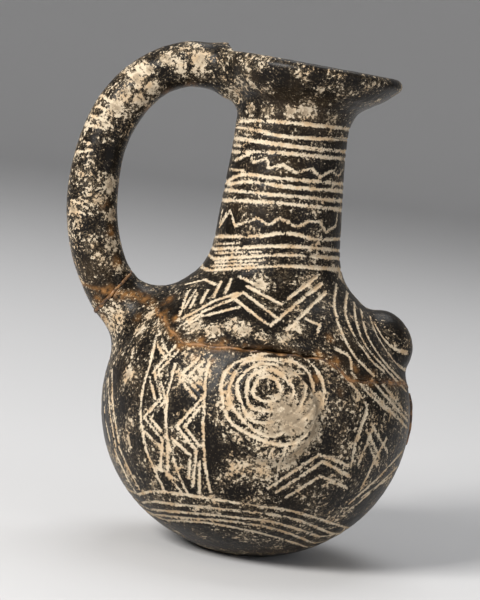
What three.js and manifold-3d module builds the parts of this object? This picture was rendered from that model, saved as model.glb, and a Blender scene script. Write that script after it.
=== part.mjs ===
// Pottery juglet: a round hand-built body, a tapering neck, a flared mouth, a looped coil handle,
// a low boss on the front and a solid knob on the side away from the handle.
// Every clay element is its own solid, and the old break through the body and the one at the foot of
// the handle part them as they part the real jug, with the adhesive that fills each break.
// Millimetres, +Z up along the neck. The origin is the centre of the flattened spot that the jug
// rests on. The handle is towards -X, the knob towards +X and the boss towards -Y.

import * as THREE from 'three';
import Module from 'manifold-3d';

const wasm = await Module();
wasm.setup();

// Body: two half ellipsoids that meet at the widest level
const bodyRadius = 41;
const widestHeight = 38;
const restFlattening = 1.1;      // how much of the round bottom is flattened off
const shoulderRise = 38.5;       // widest level to where the shoulder would close
const bodyWall = 3.8;
const floorThickness = 4.4;

// Neck: a cone with a fillet of clay smoothed over its foot
const neckFootRadius = 22;
const neckRootRadius = 17.1;
const neckTopRadius = 14.9;
const neckWall = 3.3;
const neckLength = 41;
const neckFilletHeight = 6;

// Mouth: flares out of the neck, oval, leaning over to the side away from the handle
const mouthRise = 19.5;
const rimRadius = 24.6;
const rimShift = 3.5;
const rimOval = 0.05;            // how much narrower the rim is from front to back
const rimTilt = 2.9;             // degrees, down towards the pouring side
const lipRadius = 2.1;

// Handle: a coil, thinner towards the mouth, on a half oval loop
const handleReach = 50.4;        // from the neck's axis to the middle of the coil
const handleBend = 26;           // from the neck's axis to the middle of the oval
const handleTopDrop = 4.7;       // from the rim to the middle of the coil at its top
const handleRootRadius = 7.9;
const handleMidRadius = 6.75;
const handleTopRadius = 6;
const handleRootLatitude = 33;   // degrees above the widest level, on the body
const handleBreakAt = 8.5;       // along the coil from the body to the break
const handleBreakLean = -14;     // degrees
const pegRadius = 4.2;           // the end of the coil, pushed through the wall
const pegHead = 1.2;             // how far it was left proud inside

// Applied lumps of clay
const bossLatitude = 7;
const bossAzimuth = -86.4;
const bossRadius = 11.8;
const bossHeight = 2.3;
const knobLatitude = 36.5;
const knobRadius = 8;
const knobHeight = 5.4;
const webReach = 7;              // luting clay in the corner between the neck and the handle
const webWidth = 5;

// The break through the body, as azimuth and latitude in degrees. The front is as the jug broke, and
// it dips under the knob and climbs to the crotch of the handle.
const breakLine = [
  [-180, 47], [-168, 44], [-144, 37], [-134, 30.5], [-126, 24.5], [-110, 24], [-92, 25], [-83, 25.5],
  [-64, 27], [-55, 22.5], [-32, 20.5], [-12, 15], [0, 11], [22, 14], [48, 21], [76, 19], [104, 25],
  [132, 31], [156, 40], [180, 47],
];

// Fits
const jointGap = 0.3;            // between a piece and what it was luted or glued to
const mendThickness = 0.5;
const mendProud = 0.35;          // adhesive squeezed out of the break in the body
const handleMendProud = 0.5;

// Facets
const roundSides = 48;
const coilSides = 20;

const degree = Math.PI / 180;
const lowerDepth = widestHeight + restFlattening;
const innerDepth = widestHeight - floorThickness;
const restLatitude = -Math.asin(widestHeight / lowerDepth);
const mendGap = (mendThickness + 2 * jointGap) / bodyRadius;

// A point of the body's outer face, grown by a small amount
function outerPoint(latitude, azimuth, grow = 0) {
  const rise = (latitude < 0 ? lowerDepth : shoulderRise) + grow;
  const radius = (bodyRadius + grow) * Math.cos(latitude);
  const z = widestHeight + rise * Math.sin(latitude);
  return new THREE.Vector3(radius * Math.cos(azimuth), radius * Math.sin(azimuth), z);
}

// A point of the body's inner face
function innerPoint(latitude, azimuth) {
  const rise = latitude < 0 ? innerDepth : shoulderRise - bodyWall;
  const radius = (bodyRadius - bodyWall) * Math.cos(latitude);
  const z = widestHeight + rise * Math.sin(latitude);
  return new THREE.Vector3(radius * Math.cos(azimuth), radius * Math.sin(azimuth), z);
}

// The direction straight out of the body's face
function outward(latitude, azimuth) {
  const flat = Math.cos(latitude) / bodyRadius;
  const rise = Math.sin(latitude) / (latitude < 0 ? lowerDepth : shoulderRise);
  return new THREE.Vector3(flat * Math.cos(azimuth), flat * Math.sin(azimuth), rise).normalize();
}

// Latitude of the break at an azimuth, in radians
function breakLatitude(azimuth) {
  const at = THREE.MathUtils.euclideanModulo(azimuth / degree + 180, 360) - 180;
  const next = breakLine.findIndex(([a]) => a > at);
  const [a0, b0] = breakLine[next - 1];
  const [a1, b1] = breakLine[next];
  return THREE.MathUtils.lerp(b0, b1, (at - a0) / (a1 - a0)) * degree;
}

// A ring of points, one for each side
function ring(sides, pointAt) {
  return Array.from({ length: sides }, (_, i) => pointAt((i / sides) * 2 * Math.PI));
}

// Turns the faces of a closed mesh outwards
function facingOut(geometry) {
  const position = geometry.getAttribute('position');
  const index = geometry.getIndex().array;
  const [a, b, c] = [new THREE.Vector3(), new THREE.Vector3(), new THREE.Vector3()];
  let volume = 0;
  for (let i = 0; i < index.length; i += 3) {
    a.fromBufferAttribute(position, index[i]);
    b.fromBufferAttribute(position, index[i + 1]);
    c.fromBufferAttribute(position, index[i + 2]);
    volume += a.dot(b.cross(c));
  }
  if (volume < 0) {
    for (let i = 0; i < index.length; i += 3) {
      [index[i], index[i + 1]] = [index[i + 1], index[i]];
    }
  }
  return geometry;
}

// Skin over a stack of rings. The two ends are closed by a point each, or the last ring joins the first.
function skin(rings, startPoint, endPoint) {
  const sides = rings[0].length;
  const points = rings.flat();
  const index = [];
  const loops = startPoint ? rings.length - 1 : rings.length;
  for (let i = 0; i < loops; i += 1) {
    const here = i * sides;
    const there = ((i + 1) % rings.length) * sides;
    for (let j = 0; j < sides; j += 1) {
      const k = (j + 1) % sides;
      index.push(here + j, here + k, there + k, here + j, there + k, there + j);
    }
  }
  if (startPoint) {
    const last = (rings.length - 1) * sides;
    points.push(startPoint, endPoint);
    for (let j = 0; j < sides; j += 1) {
      const k = (j + 1) % sides;
      index.push(points.length - 2, k, j, points.length - 1, last + j, last + k);
    }
  }
  const geometry = new THREE.BufferGeometry().setFromPoints(points);
  geometry.setIndex(index);
  return facingOut(geometry);
}

function solid(geometry) {
  return new wasm.Manifold(new wasm.Mesh({
    numProp: 3,
    vertProperties: new Float32Array(geometry.getAttribute('position').array),
    triVerts: new Uint32Array(geometry.getIndex().array),
  }));
}

function geometryOf(body) {
  const mesh = body.getMesh();
  const geometry = new THREE.BufferGeometry();
  geometry.setAttribute('position', new THREE.BufferAttribute(mesh.vertProperties, 3));
  geometry.setIndex(new THREE.BufferAttribute(mesh.triVerts, 1));
  return geometry;
}

// Even steps from one value to another, both included
function steps(from, to, count) {
  return Array.from({ length: count + 1 }, (_, i) => THREE.MathUtils.lerp(from, to, i / count));
}

// The whole outer body as one lump, for cutting what is luted on to it
function bodyLump(grow) {
  const top = Math.acos((neckRootRadius - neckWall) / bodyRadius);
  const rings = steps(restLatitude, top, 26).map((latitude) => (
    ring(roundSides, (azimuth) => outerPoint(latitude, azimuth, grow))
  ));
  const under = new THREE.Vector3(0, 0, rings[0][0].z);
  const over = new THREE.Vector3(0, 0, rings[rings.length - 1][0].z);
  return solid(skin(rings, under, over));
}

// The mouth and neck as one lump without their bore, grown by a gap, for cutting what meets them
function neckLump(grow) {
  const { outer, lip } = mouthOutline(grow);
  const rings = [
    ring(roundSides, (azimuth) => neckRingPoint(neckRootRadius + grow, neckFoot().z, azimuth)),
    ...[...outer, ...lip.slice(0, 2)].map(({ x, y }) => (
      ring(roundSides, (azimuth) => mouthPoint(x, y, azimuth))
    )),
  ];
  const last = rings[rings.length - 1];
  rings.push(last.map((point) => point.clone().setZ(point.z + 4 * lipRadius)));
  const under = new THREE.Vector3(0, 0, rings[0][0].z);
  const over = new THREE.Vector3(rimShift, 0, last[0].z + 4 * lipRadius);
  return solid(skin(rings, under, over));
}

// Where the neck's foot ends on the shoulder, outside and inside
function neckFoot() {
  return outerPoint(Math.acos(neckFootRadius / bodyRadius), 0);
}

function boreFoot() {
  const boreRadius = neckRootRadius - neckWall;
  return innerPoint(Math.acos(boreRadius / (bodyRadius - bodyWall)), 0);
}

const neckTop = neckFoot().z + neckLength;
const rimHeight = neckTop + mouthRise;

function neckRingPoint(radius, z, azimuth) {
  return new THREE.Vector3(radius * Math.cos(azimuth), radius * Math.sin(azimuth), z);
}

// Lower part of the body, up to the break, with the hole that the handle's peg was pushed through
function bellyBowl() {
  const outside = steps(0, 1, 15).map((share) => ring(roundSides, (azimuth) => (
    outerPoint(THREE.MathUtils.lerp(restLatitude, breakLatitude(azimuth), share), azimuth)
  )));
  const inside = steps(1, 0, 10).map((share) => ring(roundSides, (azimuth) => (
    innerPoint(THREE.MathUtils.lerp(-80 * degree, breakLatitude(azimuth), share), azimuth)
  )));
  const shell = skin([...outside, ...inside], new THREE.Vector3(), new THREE.Vector3(0, 0, floorThickness));
  return geometryOf(solid(shell).subtract(solid(peg(pegRadius + jointGap, bodyWall))));
}

// Upper part of the body, from the break to the foot of the neck
function shoulderDome() {
  const foot = Math.acos(neckFootRadius / bodyRadius);
  const bore = Math.acos((neckRootRadius - neckWall) / (bodyRadius - bodyWall));
  const outside = steps(0, 1, 9).map((share) => ring(roundSides, (azimuth) => (
    outerPoint(THREE.MathUtils.lerp(breakLatitude(azimuth) + mendGap, foot, share), azimuth)
  )));
  const inside = steps(1, 0, 9).map((share) => ring(roundSides, (azimuth) => (
    innerPoint(THREE.MathUtils.lerp(breakLatitude(azimuth) + mendGap, bore, share), azimuth)
  )));
  return skin([...outside, ...inside]);
}

// Adhesive in the break, a thin ring that stands a little proud outside
function bodyMend() {
  const low = jointGap / bodyRadius;
  const high = mendGap - low;
  return skin([
    ring(roundSides, (azimuth) => innerPoint(breakLatitude(azimuth) + low, azimuth)),
    ring(roundSides, (azimuth) => outerPoint(breakLatitude(azimuth) + low, azimuth, mendProud)),
    ring(roundSides, (azimuth) => outerPoint(breakLatitude(azimuth) + high, azimuth, mendProud)),
    ring(roundSides, (azimuth) => innerPoint(breakLatitude(azimuth) + high, azimuth)),
  ]);
}

// Neck, its foot smoothed out over the shoulder
function neckTube() {
  const foot = neckFoot();
  const bore = boreFoot();
  const fillet = new THREE.QuadraticBezierCurve(
    new THREE.Vector2(neckFootRadius, foot.z + jointGap),
    new THREE.Vector2(neckRootRadius + 1.1, foot.z + 0.35 * neckFilletHeight),
    new THREE.Vector2(neckRootRadius, foot.z + neckFilletHeight),
  ).getPoints(4);
  const outside = [...fillet, ...steps(0, 1, 4).slice(1).map((share) => new THREE.Vector2(
    THREE.MathUtils.lerp(neckRootRadius, neckTopRadius, Math.min(1, share * 1.12)),
    THREE.MathUtils.lerp(foot.z + neckFilletHeight, neckTop - jointGap, share),
  ))];
  const inside = steps(1, 0, 3).map((share) => new THREE.Vector2(
    THREE.MathUtils.lerp(neckRootRadius, neckTopRadius, share) - neckWall,
    THREE.MathUtils.lerp(bore.z + jointGap, neckTop - jointGap, share),
  ));
  const profile = [...outside, ...inside];
  return skin(profile.map(({ x, y }) => ring(roundSides, (azimuth) => neckRingPoint(x, y, azimuth))));
}

// The mouth's section on the pouring side, as radius and height, outside then inside
function mouthOutline(grow = 0) {
  const flare = rimRadius - neckTopRadius;
  const outer = new THREE.SplineCurve([
    new THREE.Vector2(neckTopRadius, neckTop),
    new THREE.Vector2(neckTopRadius + 0.01 * flare, neckTop + 0.19 * mouthRise),
    new THREE.Vector2(neckTopRadius + 0.1 * flare, neckTop + 0.37 * mouthRise),
    new THREE.Vector2(neckTopRadius + 0.35 * flare, neckTop + 0.49 * mouthRise),
    new THREE.Vector2(neckTopRadius + 0.62 * flare, neckTop + 0.6 * mouthRise),
    new THREE.Vector2(rimRadius - 0.06 * flare, rimHeight - 2.1 * lipRadius),
  ]);
  const shares = steps(0, 1, 8);
  const samples = shares.map((share) => {
    const point = outer.getPoint(share);
    const along = outer.getTangent(share);
    const wall = THREE.MathUtils.lerp(neckWall, 2 * lipRadius, share);
    const across = share === 0 ? new THREE.Vector2(-1, 0) : new THREE.Vector2(-along.y, along.x);
    return {
      outer: point.clone().addScaledVector(across, -grow),
      inner: point.clone().addScaledVector(across, wall),
    };
  });
  const end = samples[samples.length - 1];
  const middle = end.outer.clone().lerp(end.inner, 0.5);
  const turn = end.outer.clone().sub(middle);
  const lip = steps(0, 180, 6).slice(1, -1).map((angle) => (
    turn.clone().rotateAround(new THREE.Vector2(), angle * degree).add(middle)
  ));
  return {
    outer: samples.map((sample) => sample.outer),
    inner: samples.map((sample) => sample.inner).reverse(),
    lip,
  };
}

// A point of the mouth: the higher, the more it is shifted, narrowed and tilted
function mouthPoint(radius, z, azimuth) {
  const lean = THREE.MathUtils.smoothstep(z, neckTop, rimHeight);
  const x = radius * Math.cos(azimuth) + rimShift * lean;
  const y = radius * Math.sin(azimuth) * (1 - rimOval * lean);
  return new THREE.Vector3(x, y, z - lean * x * Math.tan(rimTilt * degree));
}

function mouthFunnel() {
  const { outer, lip, inner } = mouthOutline();
  return skin([...outer, ...lip, ...inner].map(({ x, y }) => (
    ring(roundSides, (azimuth) => mouthPoint(x, y, azimuth))
  )));
}

// Middle line of the handle's coil, from the body round the loop into the mouth
const handleRoot = outerPoint(handleRootLatitude * degree, Math.PI);
const handleTop = rimHeight - handleTopDrop;
const handleBottom = handleRoot.z - 2.4;

function handleLine() {
  const middle = (handleTop + handleBottom) / 2;
  const rise = (handleTop - handleBottom) / 2;
  const reach = handleReach - handleBend;
  const loop = [-55, -40, -25, -10, 5, 20, 35, 50, 65, 80, 90].map((angle) => new THREE.Vector3(
    -handleBend - reach * Math.cos(angle * degree),
    0,
    middle + rise * Math.sin(angle * degree),
  ));
  const into = new THREE.Vector3(-neckTopRadius, 0, handleTop - 0.6);
  return new THREE.CatmullRomCurve3([handleRoot, ...loop, into]);
}

// Rings of the coil between two distances along it, grown by a small amount. The faces at the break lean.
function coilRings(from, to, count, grow = 0) {
  const line = handleLine();
  const length = line.getLength();
  return steps(from, to, count).map((distance) => {
    const share = THREE.MathUtils.clamp(distance / length, 0, 1);
    const middle = line.getPointAt(share);
    const along = line.getTangentAt(share);
    const across = new THREE.Vector3(-along.z, 0, along.x);
    const radius = grow + (share < 0.35
      ? THREE.MathUtils.lerp(handleRootRadius, handleMidRadius, THREE.MathUtils.smoothstep(share, 0, 0.15))
      : THREE.MathUtils.lerp(handleMidRadius, handleTopRadius, THREE.MathUtils.smoothstep(share, 0.35, 0.8)));
    const fade = Math.max(0, 1 - Math.abs(distance - handleBreakAt) / handleMidRadius);
    return ring(coilSides, (turn) => middle.clone()
      .addScaledVector(across, radius * Math.cos(turn))
      .add(new THREE.Vector3(0, radius * Math.sin(turn), 0))
      .addScaledVector(along, fade * radius * Math.cos(turn) * Math.tan(handleBreakLean * degree)));
  });
}

function centreOf(points) {
  const sum = points.reduce((total, point) => total.add(point), new THREE.Vector3());
  return sum.divideScalar(points.length);
}

function coil(from, to, count, grow = 0) {
  const rings = coilRings(from, to, count, grow);
  return skin(rings, centreOf(rings[0]), centreOf(rings[rings.length - 1]));
}

// The peg on the end of the coil, straight through the wall, with a little head left inside
function peg(radius, head) {
  const out = outward(handleRootLatitude * degree, Math.PI);
  const side = new THREE.Vector3(0, 1, 0);
  const up = new THREE.Vector3().crossVectors(side, out);
  const disc = (depth, size) => ring(coilSides, (turn) => handleRoot.clone()
    .addScaledVector(out, -depth)
    .addScaledVector(side, size * Math.cos(turn))
    .addScaledVector(up, size * Math.sin(turn)));
  const inside = bodyWall + head;
  const rings = [disc(-0.3 * handleRootRadius, radius), disc(inside, radius * 0.96)];
  return skin(rings, centreOf(rings[0]), centreOf(rings[1]));
}

// Stump of the handle that stayed on the body when the handle broke off
function handleRootStump() {
  const stump = solid(coil(0, handleBreakAt - jointGap - mendThickness / 2, 5));
  const foot = solid(coilFoot());
  return geometryOf(stump.add(foot).subtract(bodyLump(jointGap)).add(solid(peg(pegRadius, pegHead))));
}

// The thick end of the coil, carried on into the wall so that the cut follows the body
function coilFoot() {
  const [first, second] = coilRings(0, 1, 1);
  const back = first.map((point) => point.clone().addScaledVector(
    outward(handleRootLatitude * degree, Math.PI), -bodyWall,
  ));
  const rings = [back, first, second];
  return skin(rings, centreOf(back), centreOf(second));
}

function handleMend() {
  const from = handleBreakAt - mendThickness / 2;
  return coil(from, from + mendThickness, 1, handleMendProud);
}

function loopHandle() {
  const from = handleBreakAt + jointGap + mendThickness / 2;
  const whole = solid(coil(from, handleLine().getLength(), 30));
  return geometryOf(whole.subtract(neckLump(jointGap)));
}

// A lump of revolution, set on the body with its axis straight out of it
function lump(profile, latitude, azimuth, sides) {
  const seat = outerPoint(latitude, azimuth);
  const turned = new THREE.Quaternion().setFromUnitVectors(new THREE.Vector3(0, 0, 1), outward(latitude, azimuth));
  const [first, ...others] = profile;
  const place = (radius, height, turn) => new THREE.Vector3(radius * Math.cos(turn), radius * Math.sin(turn), height)
    .applyQuaternion(turned).add(seat);
  const top = others.pop();
  const rings = others.map(([radius, height]) => ring(sides, (turn) => place(radius, height, turn)));
  return solid(skin(rings, place(0, first[1], 0), place(0, top[1], 0)));
}

// Low round boss, domed, following the curve of the body below it
function frontBoss() {
  const fall = (radius) => (radius * radius) / (2 * bodyRadius);
  const dome = steps(1, 0.2, 4).map((share) => [
    share * bossRadius,
    jointGap + 0.35 + (bossHeight - jointGap - 0.35) * (1 - share * share) - fall(share * bossRadius),
  ]);
  const depth = -bossHeight - fall(bossRadius);
  const profile = [[0, depth], [bossRadius, depth], ...dome, [0, bossHeight]];
  return geometryOf(lump(profile, bossLatitude * degree, bossAzimuth * degree, 36).subtract(bodyLump(jointGap)));
}

// Solid rounded knob on the shoulder
function sideKnob() {
  const dome = steps(0, 75, 5).map((angle) => [
    knobRadius * Math.cos(angle * degree),
    knobHeight * Math.sin(angle * degree),
  ]);
  const profile = [[0, -knobHeight], [knobRadius, -knobHeight], ...dome, [0, knobHeight]];
  return geometryOf(lump(profile, knobLatitude * degree, 0, 28).subtract(bodyLump(jointGap)));
}

// Luting clay smeared into the corner between the neck and the underside of the handle: a wedge with a
// hollow face, drawn in towards both sides
function handleWeb() {
  const corner = new THREE.Vector3(-neckTopRadius, 0, handleTop - handleTopRadius);
  const sunk = 0.6 * handleTopRadius;
  const hollow = steps(90, 0, 7).map((angle) => [
    -webReach + webReach * Math.cos(angle * degree),
    -webReach + webReach * Math.sin(angle * degree),
  ]);
  const outline = [[sunk, sunk], [-webReach, sunk], ...hollow, [sunk, -webReach]];
  const rings = steps(-80, 80, 10).map((angle) => outline.map(([x, z]) => new THREE.Vector3(
    corner.x + x * Math.cos(angle * degree),
    webWidth * Math.sin(angle * degree),
    corner.z + z * Math.cos(angle * degree),
  )));
  const whole = solid(skin(rings, centreOf(rings[0]), centreOf(rings[rings.length - 1])));
  const above = solid(coil(0.7 * handleLine().getLength(), handleLine().getLength(), 12, jointGap));
  return geometryOf(whole.subtract(neckLump(jointGap)).subtract(above));
}

const finish = {
  slip: { color: 0x2c2824, roughness: 0.55, metalness: 0 },
  paleSlip: { color: 0x8f8066, roughness: 0.8, metalness: 0 },
  adhesive: { color: 0xa8703c, roughness: 0.5, metalness: 0 },
};

const juglet = new THREE.Group();

function addPiece(name, geometry, look) {
  const mesh = new THREE.Mesh(geometry, new THREE.MeshStandardMaterial(look));
  mesh.name = name;
  juglet.add(mesh);
}

addPiece('belly_bowl', bellyBowl(), finish.slip);
addPiece('shoulder_dome', shoulderDome(), finish.slip);
addPiece('body_mend', bodyMend(), finish.adhesive);
addPiece('neck_tube', neckTube(), finish.slip);
addPiece('mouth_funnel', mouthFunnel(), finish.slip);
addPiece('handle_root', handleRootStump(), finish.slip);
addPiece('handle_mend', handleMend(), finish.adhesive);
addPiece('loop_handle', loopHandle(), finish.slip);
addPiece('handle_luting', handleWeb(), finish.paleSlip);
addPiece('front_boss', frontBoss(), finish.paleSlip);
addPiece('side_knob', sideKnob(), finish.slip);

export default juglet;
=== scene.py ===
import math

import bpy
import numpy as np
import openvdb
from mathutils import Matrix, Vector
from mathutils.bvhtree import BVHTree
from numpy.linalg import norm


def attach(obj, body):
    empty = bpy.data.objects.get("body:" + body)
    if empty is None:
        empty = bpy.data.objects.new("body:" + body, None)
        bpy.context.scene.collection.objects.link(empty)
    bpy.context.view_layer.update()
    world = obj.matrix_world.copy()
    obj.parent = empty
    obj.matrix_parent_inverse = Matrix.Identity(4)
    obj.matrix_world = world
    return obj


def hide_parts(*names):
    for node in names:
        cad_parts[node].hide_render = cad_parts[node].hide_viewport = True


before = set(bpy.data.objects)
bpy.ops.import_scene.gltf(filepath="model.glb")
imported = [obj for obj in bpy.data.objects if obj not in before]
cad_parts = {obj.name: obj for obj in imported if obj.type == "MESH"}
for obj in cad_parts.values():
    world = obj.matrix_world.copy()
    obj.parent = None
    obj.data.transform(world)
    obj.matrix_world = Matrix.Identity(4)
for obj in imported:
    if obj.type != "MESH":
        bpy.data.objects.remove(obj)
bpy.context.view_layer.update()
mm = 0.001  # the shapes below are in millimetres
latticeSize = 32
lattice = np.random.default_rng(11).random((latticeSize, latticeSize, latticeSize))
print("frame loaded")


def addObject(name, data):
    made = bpy.data.objects.new(name, data)
    bpy.context.scene.collection.objects.link(made)
    return made


# Camera: level in the photograph, where the jug leans to the right, so here it rolls instead
photo = {
    "eyeAcross": 0.5, "eyeHeight": 121.2, "distance": 626.6, "focalPixels": 2377.7, "pitch": 4.99,
    "lean": 7.19, "width": 480, "height": 600, "sensor": 36,
}


def makeCamera():
    roll = Matrix.Rotation(-math.radians(photo["lean"]), 4, "Y")
    place = Matrix.Translation((photo["eyeAcross"], -photo["distance"], photo["eyeHeight"]))
    look = Matrix.Rotation(math.radians(90 - photo["pitch"]), 4, "X")
    data = bpy.data.cameras.new("camera")
    data.sensor_width = photo["sensor"]
    data.lens = photo["focalPixels"] * photo["sensor"] / photo["height"]
    camera = addObject("camera", data)
    bpy.context.scene.camera = camera
    inMillimetres = roll @ place @ look
    turn = inMillimetres.to_3x3().to_4x4()
    camera.matrix_world = Matrix.Translation(inMillimetres.translation * mm) @ turn
    return inMillimetres


eye = makeCamera()


# Shared shape maths
def noise(points, size, shift=0.0):
    at = points / size + shift + 100  # 100 keeps the cells on the positive side
    cell = np.floor(at).astype(int)
    part = at - cell
    part = part * part * (3 - 2 * part)
    total = np.zeros(len(points))
    for corner in np.ndindex(2, 2, 2):
        weight = np.where(corner, part, 1 - part).prod(axis=1)
        total += weight * lattice[tuple(((cell + corner) % latticeSize).T)]
    return total * 2 - 1


def smoothStep(value, low, high):
    share = np.clip((value - low) / (high - low), 0, 1)
    return share * share * (3 - 2 * share)


def smoothMin(a, b, reach):
    overlap = np.maximum(reach - np.abs(a - b), 0)
    return np.minimum(a, b) - overlap * overlap / (4 * reach)


def spline(points, count):
    points = np.array(points, float)
    at = np.linspace(0, len(points) - 1, count)
    i = np.minimum(at.astype(int), len(points) - 2)
    t = (at - i)[:, None]
    a, b, c, d = (points[np.clip(i + k, 0, len(points) - 1)] for k in (-1, 0, 1, 2))
    square = (2 * a - 5 * b + 4 * c - d) * t ** 2
    cube = (3 * b - a - 3 * c + d) * t ** 3
    return 0.5 * (2 * b + (c - a) * t + square + cube)


def unit(vectors):
    return vectors / norm(vectors, axis=-1)[..., None]


hand = {"wobble": 0.28, "wave": 19, "shifts": (3.1, 7.7, 12.3)}  # how unevenly the clay was built up


def handWobble(points):
    return points + hand["wobble"] * np.stack([noise(points, hand["wave"], k) for k in hand["shifts"]], 1)


# Body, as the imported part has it: two half rounds, one above and one below the widest height
body = {"radius": 41, "widest": 38, "lower": 39.1, "upper": 38.5, "wall": 3.8, "floor": 4.4, "columns": 560}


def around(columns):
    return np.linspace(-math.pi, math.pi, columns, endpoint=False)


def bodyPoint(latitude, azimuth, depth=0.0):
    below = latitude < 0
    thickness = np.where(below, depth * body["floor"] / body["wall"], depth)
    rise = np.where(below, body["lower"], body["upper"]) - thickness
    radius = (body["radius"] - depth) * np.cos(latitude)
    height = body["widest"] + rise * np.sin(latitude) + 0 * azimuth
    return np.stack([radius * np.cos(azimuth), radius * np.sin(azimuth), height], -1)


inward = 2  # depth of the second point that gives the direction outward


def bodyOutward(latitude, azimuth):
    return unit(bodyPoint(latitude, azimuth) - bodyPoint(latitude, azimuth, inward))


def bodyRise(points):
    return np.where(points[:, 2] < body["widest"], body["lower"], body["upper"])


def bodySize(points):
    return np.stack([np.full(len(points), body["radius"])] * 2 + [bodyRise(points)], 1)


def bodyDistance(points):
    fromMiddle = points - (0, 0, body["widest"])
    size = bodySize(points)
    share = norm(fromMiddle / size, axis=1)
    return share * (share - 1) / np.maximum(norm(fromMiddle / size ** 2, axis=1), 1e-6)


def onBody(points):  # the point of the plain body under a lump
    middle = np.array((0, 0, body["widest"]))
    share = norm((points - middle) / bodySize(points), axis=1)
    return middle + (points - middle) / share[:, None]


# The break round the body: its line as azimuth and latitude in degrees, and the openings left in it
# as azimuth, half width and share
breakEdge = {
    "line": [
        (-180, 46), (-168, 42.5), (-144, 35.5), (-134, 31.5), (-126, 28.5), (-114, 28.5), (-102, 29.4),
        (-91, 30), (-84, 30.3), (-75, 30.4), (-67, 29.2), (-61.5, 26.6), (-55, 21.8), (-43, 21.6),
        (-18, 20.3), (-5, 17), (6, 15.5), (24, 16), (48, 21), (76, 19), (104, 25), (132, 31), (156, 40),
        (180, 46),
    ],
    "openings": [
        (-86, 7, 1), (-73, 4, 0.8), (-97, 3.5, 0.6), (-48, 3, 0.5), (-38, 3, 0.5), (110, 6, 0.7),
    ],
    "ragged": 0.5, "raggedSize": 5, "crumbs": 0.3, "crumbSize": 1.6,
}


def breakLatitude(azimuth, edge=0.0):
    line = np.array(breakEdge["line"])
    latitude = np.radians(np.interp(np.degrees(azimuth), line[:, 0], line[:, 1]))
    where = bodyPoint(latitude, azimuth)
    ragged = breakEdge["ragged"] * noise(where, breakEdge["raggedSize"], 1.0)
    ragged += breakEdge["crumbs"] * noise(where, breakEdge["crumbSize"], 5.0)
    return latitude + (ragged + edge) / body["radius"]


def gapShare(azimuth):
    at = np.degrees(azimuth)
    share = np.zeros_like(at)
    for middle, half, amount in breakEdge["openings"]:
        share = np.maximum(share, amount * np.exp(-((at - middle) / half) ** 2))
    return share


def offBreak(points):  # millimetres above the break, over the body's surface
    latitude = np.arcsin(np.clip((points[:, 2] - body["widest"]) / bodyRise(points), -1, 1))
    return body["radius"] * (latitude - breakLatitude(np.arctan2(points[:, 1], points[:, 0])))


# Neck and mouth, as radius and height
neck = {
    "outside": [
        (26.4, 67.2), (25, 68.5), (22.6, 70.4), (20.2, 72.6), (18.4, 75.2), (17.2, 78.5),
        (16.6, 82.5), (16.3, 88), (15.75, 96), (15.1, 104), (14.9, 111.5),
    ],
    "inside": [(11.6, 111.5), (13.8, 70)], "radius": 14.9, "top": 111.5, "wall": 3.3, "rows": 150,
    "insideRows": 20, "columns": 400, "dust": 0.17,
}
mouth = {
    "flare": [(0, 0), (0.01, 0.19), (0.1, 0.37), (0.35, 0.49), (0.62, 0.6), (0.9, 0.765)], "rim": 24.6,
    "height": 131.05, "shift": 3.5, "oval": 0.05, "tilt": 2.9, "lip": 2.1, "rows": 60, "lipRows": 16,
    "columns": 400, "dust": 0.24,
}


def lean(points):  # the higher in the mouth, the more it is shifted, narrowed and tilted
    share = smoothStep(points[..., 2], neck["top"], mouth["height"])
    x = points[..., 0] + mouth["shift"] * share
    y = points[..., 1] * (1 - mouth["oval"] * share)
    return np.stack([x, y, points[..., 2] - share * x * math.tan(math.radians(mouth["tilt"]))], -1)


def straighten(points):
    share = smoothStep(points[:, 2], neck["top"], mouth["height"])
    z = points[:, 2] + share * points[:, 0] * math.tan(math.radians(mouth["tilt"]))
    x = points[:, 0] - mouth["shift"] * share
    return np.stack([np.hypot(x, points[:, 1] / (1 - mouth["oval"] * share)), z], 1)


def mouthSection():
    flare = mouth["rim"] - neck["radius"]
    rise = mouth["height"] - neck["top"]
    corners = [(neck["radius"] + a * flare, neck["top"] + b * rise) for a, b in mouth["flare"]]
    outside = spline(corners, mouth["rows"])
    along = unit(np.gradient(outside, axis=0))
    wall = np.linspace(neck["wall"], 2 * mouth["lip"], len(outside))[:, None]
    across = np.stack([-along[:, 1], along[:, 0]], 1)
    inside = outside + across * wall
    middle, turn = (outside[-1] + inside[-1]) / 2, (outside[-1] - inside[-1]) / 2
    angle = np.linspace(0, math.pi, mouth["lipRows"])[1:-1, None]
    lip = middle + turn * np.cos(angle) + np.array((-turn[1], turn[0])) * np.sin(angle)
    return outside, lip, inside[::-1]


neckOutside = spline(neck["outside"], neck["rows"])
mouthOutside, mouthLip, mouthInside = mouthSection()
lipTop = len(mouthLip) // 2

# Coarser sections for distances: the wall alone, and the neck and mouth filled up
outerOutline = np.concatenate([neckOutside[::6], mouthOutside[::4]])
wallOutline = np.concatenate([outerOutline, mouthLip[::3], mouthInside[::6], neck["inside"][1:]])
fillTo = {"top": 150, "bottom": 60}  # heights between which the neck counts as solid
filling = [(mouthLip[lipTop - 1][0], fillTo["top"]), (0, fillTo["top"]), (0, fillTo["bottom"])]
filledOutline = np.concatenate([outerOutline, mouthLip[:lipTop], filling])
farAway = 20.0
neckReach = -34  # beyond this x only the handle is left


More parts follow.
